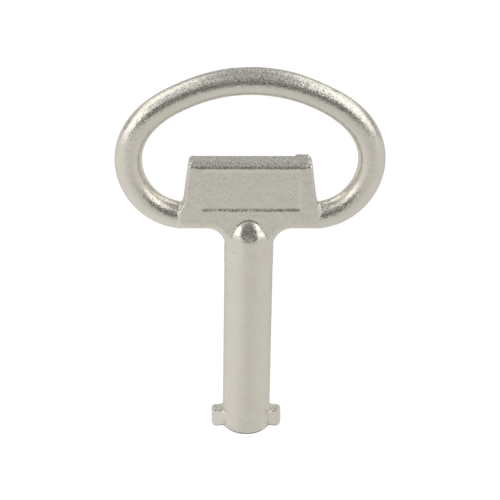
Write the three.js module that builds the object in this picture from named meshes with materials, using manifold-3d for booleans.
// Control-cabinet key with a double bit: one zinc die casting, laid out as the regions its die forms.
// Millimetres. The origin is the centre of the tip's end face. +Z runs up the shank to the finger bow,
// +X is to the right across the bow, and the front face of the label tab looks along -Y.

import * as THREE from 'three';
import { mergeVertices } from 'three/addons/utils/BufferGeometryUtils.js';
import Module from 'manifold-3d';

// ---- Driving dimensions ----------------------------------------------------------------------------

const SEAM = 0.02; // clearance left at each boundary between two regions

// Shank
const SHANK_R = 4.5;
const SHANK_TOP_Z = 42.6; // just under the lower edge of the web
const TIP_R = 1.0; // rounding of the tip's outer edge
const PILOT_R = 1.7; // blind hole in the tip that centres the key on the lock's pin
const PILOT_DEPTH = 16.0;
const PILOT_CONE = 1.0; // drill point
const PILOT_CHAMFER = 0.3;

// Domed head of the shank: the cap of an ellipsoid, slightly narrower than the shank at its foot
const DOME_HALF_D = 4.6;
const DOME_HALF_H = 5.0;
const DOME_CENTRE_Z = 41.33;

// Double bit
const BIT_SPAN = 13.4; // over both wings
const BIT_THICKNESS = 2.4; // along Y
const BIT_HEIGHT = 3.6; // along Z, flush with the tip's end face
const BIT_CORNER_R = 0.7;

// Finger bow: a round bar bent along an oval, its two ends replaced by the web
const BAR_R = 2.5;
const BAR_END_Z = 45.64; // height of the centre line's ends, where it has come down level
const BOW_END_ANGLE = THREE.MathUtils.degToRad(140); // of those ends, either way from +Z
const BOW_CENTRE_Z = 59.204;
// polar radius of the centre line about (0, BOW_CENTRE_Z), as cosine harmonics of the angle from +Z
const BOW_HARMONICS = [16.844, 0.289, -5.393, 2.15, -0.5, 0.395, -0.204];

// Web and label tab: one flat plate that fills the bow's lower side
const PLATE_T = 5.1;
const PLATE_FOOT_HALF = 13.25; // half width where the plate meets the bow
const WEB_LOW_Z = BAR_END_Z - BAR_R; // level with the underside of the bar's ends
const WEB_TOP_Z = 47.4; // boundary between web and tab, just under the recess
const WEB_EDGE_R = 1.9; // rounding of the web's lower edge
const SHANK_FILLET_R = 3.4; // web to shank
const FOOT_TOP_Z = 47.35;
const FLARE_TOP_Z = 49.9;
const FLARE_HALF = 12.03;
const FLARE_PULL = { x: 0.3, z: 1.0 }; // curve's control point, out from FLARE_HALF, up from FOOT_TOP_Z
const TAB_TOP_HALF = 11.15;
const TAB_TOP_Z = 56.75;
const TAB_EDGE_R = 0.5;
const TAB_CORNER = 0.95; // how far the rounded top corners reach along each side

// Blank label recess, the same on the front and the back of the tab
const RECESS_CENTRE_X = 0.15;
const RECESS_FLOOR_HALF = 9.05;
const RECESS_FLOOR_LOW_Z = 48.08;
const RECESS_FLOOR_TOP_Z = 55.2;
const RECESS_WALL = 0.45; // run of the sloped wall
const RECESS_DEPTH = 0.45;

// How far shapes run past the boundaries where they are trimmed
const CUT_LOW_Z = 30; // below everything trimmed around the bow
const CUT_HALF_Y = 4; // beyond both faces of the plate and bar
const BOW_CUT_TOP_Z = 52; // above the part of the bar that the plate replaces
const WEB_OVERRUN = 4;
const TAB_OVERRUN = 3;
const DOME_OVERRUN = 0.5;
const BIT_OVERRUN = 1;

// Facets
const ROUND = 48; // round the shank
const TIP_STEPS = 4; // over the tip's rounding
const DOME_STEPS = 8; // from the dome's foot to its crown
const BAR_ROUND = 24; // round the bow's bar
const BAR_STEPS = 80; // sections along the bow's bar
const PLATE_EDGE_STEPS = 3;
const PLATE_CURVE_STEPS = 10;
const BIT_CURVE_STEPS = 6;

// ---- Solids ----------------------------------------------------------------------------------------

const wasm = await Module();
wasm.setup();

function solid(geometry) {
  geometry.deleteAttribute('normal');
  geometry.deleteAttribute('uv');
  const merged = mergeVertices(geometry, 1e-4);
  const corners = [];
  for (let i = 0; i < merged.index.count; i += 3) {
    const triangle = [0, 1, 2].map((k) => merged.index.getX(i + k));
    // a merged sliver has no area
    if (new Set(triangle).size === 3) corners.push(...triangle);
  }
  return new wasm.Manifold(
    new wasm.Mesh({
      numProp: 3,
      vertProperties: new Float32Array(merged.attributes.position.array),
      triVerts: new Uint32Array(corners),
    }),
  );
}

function geometryOf(manifold) {
  const mesh = manifold.getMesh();
  const positions = new Float32Array(mesh.vertProperties);
  const geometry = new THREE.BufferGeometry();
  geometry.setAttribute('position', new THREE.BufferAttribute(positions, 3));
  geometry.setIndex(new THREE.BufferAttribute(new Uint32Array(mesh.triVerts), 1));
  geometry.computeVertexNormals();
  return geometry;
}

// A trimming box centred on X = 0 and Y = 0.
function trimBox(halfX, lowZ, topZ) {
  const geometry = new THREE.BoxGeometry(2 * halfX, 2 * CUT_HALF_Y, topZ - lowZ);
  geometry.translate(0, 0, (lowZ + topZ) / 2);
  return solid(geometry);
}

// A profile of [radius, z] points turned about the Z axis.
function turned(profile) {
  const points = profile.map(([radius, z]) => new THREE.Vector2(radius, z));
  const geometry = new THREE.LatheGeometry(points, ROUND);
  geometry.rotateX(Math.PI / 2); // the lathe turns about Y
  return solid(geometry);
}

// What a neighbour leaves free for the round shank between two heights.
function shankRoom(lowZ, topZ) {
  return turned([
    [0, lowZ],
    [SHANK_R + SEAM, lowZ],
    [SHANK_R + SEAM, topZ],
    [0, topZ],
  ]);
}

function polygon(points) {
  const shape = new THREE.Shape(points.map(([x, y]) => new THREE.Vector2(x, y)));
  shape.closePath();
  return shape;
}

// An outline drawn in X and Z, extruded along Y about the plane Y = centreY.
function extrudedAlongY(shape, options, centreY = 0) {
  const geometry = new THREE.ExtrudeGeometry(shape, options);
  geometry.translate(0, 0, -options.depth / 2);
  geometry.rotateX(Math.PI / 2); // the outline's Y becomes Z
  geometry.translate(0, centreY, 0);
  return solid(geometry);
}

// The plate's thickness given to an outline, with its edges rounded inwards.
function plate(shape, edgeR) {
  return extrudedAlongY(shape, {
    depth: PLATE_T - 2 * edgeR,
    bevelThickness: edgeR,
    bevelSize: edgeR,
    bevelOffset: -edgeR,
    bevelSegments: PLATE_EDGE_STEPS,
    curveSegments: PLATE_CURVE_STEPS,
  });
}

// ---- Bow ring --------------------------------------------------------------------------------------

// The bar's centre line from the right foot, up, over the top and down to the left foot.
class BowLine extends THREE.Curve {
  getPoint(t, target = new THREE.Vector3()) {
    const angle = BOW_END_ANGLE * (1 - 2 * t); // measured from +Z towards +X
    const radius = BOW_HARMONICS.reduce((sum, size, k) => sum + size * Math.cos(k * angle), 0);
    return target.set(radius * Math.sin(angle), 0, BOW_CENTRE_Z + radius * Math.cos(angle));
  }
}

function bowRing() {
  const section = Array.from({ length: BAR_ROUND }, (_, i) => {
    const angle = (2 * Math.PI * (i + 0.5)) / BAR_ROUND;
    return [BAR_R * Math.cos(angle), BAR_R * Math.sin(angle)];
  });
  const bar = new THREE.ExtrudeGeometry(polygon(section), {
    steps: BAR_STEPS,
    bevelEnabled: false,
    extrudePath: new BowLine(),
  });
  return solid(bar).subtract(trimBox(PLATE_FOOT_HALF + SEAM, CUT_LOW_Z, BOW_CUT_TOP_Z));
}

// ---- Shank and dome --------------------------------------------------------------------------------

function shankTube() {
  const profile = [
    [0, PILOT_DEPTH + PILOT_CONE],
    [PILOT_R, PILOT_DEPTH],
    [PILOT_R, PILOT_CHAMFER],
    [PILOT_R + PILOT_CHAMFER, 0],
  ];
  for (let i = 0; i <= TIP_STEPS; i++) {
    const angle = (Math.PI / 2) * (i / TIP_STEPS);
    profile.push([SHANK_R - TIP_R * (1 - Math.sin(angle)), TIP_R * (1 - Math.cos(angle))]);
  }
  const topZ = SHANK_TOP_Z - SEAM / 2;
  profile.push([SHANK_R, topZ], [0, topZ]);
  return turned(profile);
}

// The cap from its foot to its crown, grown all round by a clearance and closed off level at lowZ.
function domeCap(clearance, lowZ) {
  const halfD = DOME_HALF_D + clearance;
  const halfH = DOME_HALF_H + clearance;
  const footAngle = Math.asin((SHANK_TOP_Z - DOME_CENTRE_Z) / halfH);
  const footR = halfD * Math.cos(footAngle);
  const profile = [
    [0, lowZ],
    [footR, lowZ],
  ];
  if (lowZ < SHANK_TOP_Z) profile.push([footR, SHANK_TOP_Z]);
  for (let i = 1; i < DOME_STEPS; i++) {
    const angle = footAngle + (Math.PI / 2 - footAngle) * (i / DOME_STEPS);
    profile.push([halfD * Math.cos(angle), DOME_CENTRE_Z + halfH * Math.sin(angle)]);
  }
  profile.push([0, DOME_CENTRE_Z + halfH]);
  return turned(profile);
}

// ---- Web -------------------------------------------------------------------------------------------

function bowWeb() {
  // The outline runs on past the web's ends and top, where it is cut square.
  const endX = PLATE_FOOT_HALF + WEB_OVERRUN;
  const topZ = WEB_TOP_Z + WEB_OVERRUN;
  const filletX = SHANK_R + SHANK_FILLET_R;
  const filletZ = WEB_LOW_Z - SHANK_FILLET_R;
  const outline = new THREE.Shape();
  outline.moveTo(-endX, WEB_LOW_Z);
  outline.lineTo(-filletX, WEB_LOW_Z);
  outline.absarc(-filletX, filletZ, SHANK_FILLET_R, Math.PI / 2, 0, true);
  outline.absarc(filletX, filletZ, SHANK_FILLET_R, Math.PI, Math.PI / 2, true);
  outline.lineTo(endX, WEB_LOW_Z);
  outline.lineTo(endX, topZ);
  outline.lineTo(-endX, topZ);
  outline.closePath();

  return plate(outline, WEB_EDGE_R)
    .intersect(trimBox(PLATE_FOOT_HALF, CUT_LOW_Z, WEB_TOP_Z - SEAM / 2))
    .subtract(shankRoom(CUT_LOW_Z, SHANK_TOP_Z))
    .subtract(domeCap(SEAM, SHANK_TOP_Z - DOME_OVERRUN));
}

// ---- Label tab -------------------------------------------------------------------------------------

// The sides lean in towards the top and flare out at the foot to meet the bow.
function tabOutline() {
  const lowZ = WEB_TOP_Z - TAB_OVERRUN;
  const pullX = FLARE_HALF + FLARE_PULL.x;
  const pullZ = FOOT_TOP_Z + FLARE_PULL.z;
  const lean = (FLARE_HALF - TAB_TOP_HALF) / (TAB_TOP_Z - FLARE_TOP_Z);
  const cornerX = TAB_TOP_HALF + lean * TAB_CORNER; // where the side ends and the corner starts
  const cornerZ = TAB_TOP_Z - TAB_CORNER;
  const topX = TAB_TOP_HALF - TAB_CORNER; // where the corner meets the top

  const outline = new THREE.Shape();
  outline.moveTo(PLATE_FOOT_HALF, lowZ);
  outline.lineTo(PLATE_FOOT_HALF, FOOT_TOP_Z);
  outline.quadraticCurveTo(pullX, pullZ, FLARE_HALF, FLARE_TOP_Z);
  outline.lineTo(cornerX, cornerZ);
  outline.quadraticCurveTo(TAB_TOP_HALF, TAB_TOP_Z, topX, TAB_TOP_Z);
  outline.lineTo(-topX, TAB_TOP_Z);
  outline.quadraticCurveTo(-TAB_TOP_HALF, TAB_TOP_Z, -cornerX, cornerZ);
  outline.lineTo(-FLARE_HALF, FLARE_TOP_Z);
  outline.quadraticCurveTo(-pullX, pullZ, -PLATE_FOOT_HALF, FOOT_TOP_Z);
  outline.lineTo(-PLATE_FOOT_HALF, lowZ);
  outline.closePath();
  return outline;
}

// Cutter for a shallow tray with sloped walls; side is -1 for the front face, 1 for the back.
// It tapers to the floor's size at both ends, and the end inside the plate forms the floor.
function recess(side) {
  const leftX = RECESS_CENTRE_X - RECESS_FLOOR_HALF;
  const rightX = RECESS_CENTRE_X + RECESS_FLOOR_HALF;
  const floor = polygon([
    [leftX, RECESS_FLOOR_LOW_Z],
    [rightX, RECESS_FLOOR_LOW_Z],
    [rightX, RECESS_FLOOR_TOP_Z],
    [leftX, RECESS_FLOOR_TOP_Z],
  ]);
  const coreT = 0.5; // straight middle part, clear of the plate
  const taper = 2 * RECESS_DEPTH; // the walls carry on at the same slope beyond the face
  const options = {
    depth: coreT,
    bevelThickness: taper,
    bevelSize: (RECESS_WALL * taper) / RECESS_DEPTH,
    bevelSegments: 1,
  };
  const floorY = PLATE_T / 2 - RECESS_DEPTH;
  return extrudedAlongY(floor, options, side * (floorY + taper + coreT / 2));
}

function labelTab() {
  return plate(tabOutline(), TAB_EDGE_R)
    .subtract(trimBox(PLATE_FOOT_HALF + TAB_OVERRUN, CUT_LOW_Z, WEB_TOP_Z + SEAM / 2))
    .subtract(recess(-1))
    .subtract(recess(1));
}

// ---- Bit wings -------------------------------------------------------------------------------------

// The wing on the +X side, drawn from the shank's axis and cut back to the shank.
function bitWing() {
  const cornerX = BIT_SPAN / 2 - BIT_CORNER_R;
  const outline = new THREE.Shape();
  outline.moveTo(0, 0);
  outline.lineTo(cornerX, 0);
  outline.absarc(cornerX, BIT_CORNER_R, BIT_CORNER_R, -Math.PI / 2, 0, false);
  outline.absarc(cornerX, BIT_HEIGHT - BIT_CORNER_R, BIT_CORNER_R, 0, Math.PI / 2, false);
  outline.lineTo(0, BIT_HEIGHT);
  outline.closePath();

  return extrudedAlongY(outline, {
    depth: BIT_THICKNESS,
    bevelEnabled: false,
    curveSegments: BIT_CURVE_STEPS,
  }).subtract(shankRoom(-BIT_OVERRUN, BIT_HEIGHT + BIT_OVERRUN));
}

// ---- Scene graph -----------------------------------------------------------------------------------

// Satin nickel plate over the sand-blasted casting
function nickel({ color, roughness }) {
  return new THREE.MeshStandardMaterial({ color, roughness, metalness: 1.0 });
}

const key = new THREE.Group();
key.name = 'double_bit_key';

function addPiece(name, manifold, finish) {
  const mesh = new THREE.Mesh(geometryOf(manifold), nickel(finish));
  mesh.name = name;
  key.add(mesh);
}

const bitRight = bitWing();
const bitFinish = { color: 0xb9b5a9, roughness: 0.4 };

addPiece('bow_ring', bowRing(), { color: 0xbdb9ae, roughness: 0.38 });
addPiece('bow_web', bowWeb(), { color: 0xbab6aa, roughness: 0.42 });
addPiece('label_tab', labelTab(), { color: 0xb7b3a8, roughness: 0.45 });
addPiece('shank_dome', domeCap(0, SHANK_TOP_Z + SEAM / 2), { color: 0xc2beb3, roughness: 0.34 });
addPiece('shank_tube', shankTube(), { color: 0xc0bcb1, roughness: 0.38 });
addPiece('bit_left', bitRight.mirror([1, 0, 0]), bitFinish);
addPiece('bit_right', bitRight, bitFinish);

export default key;
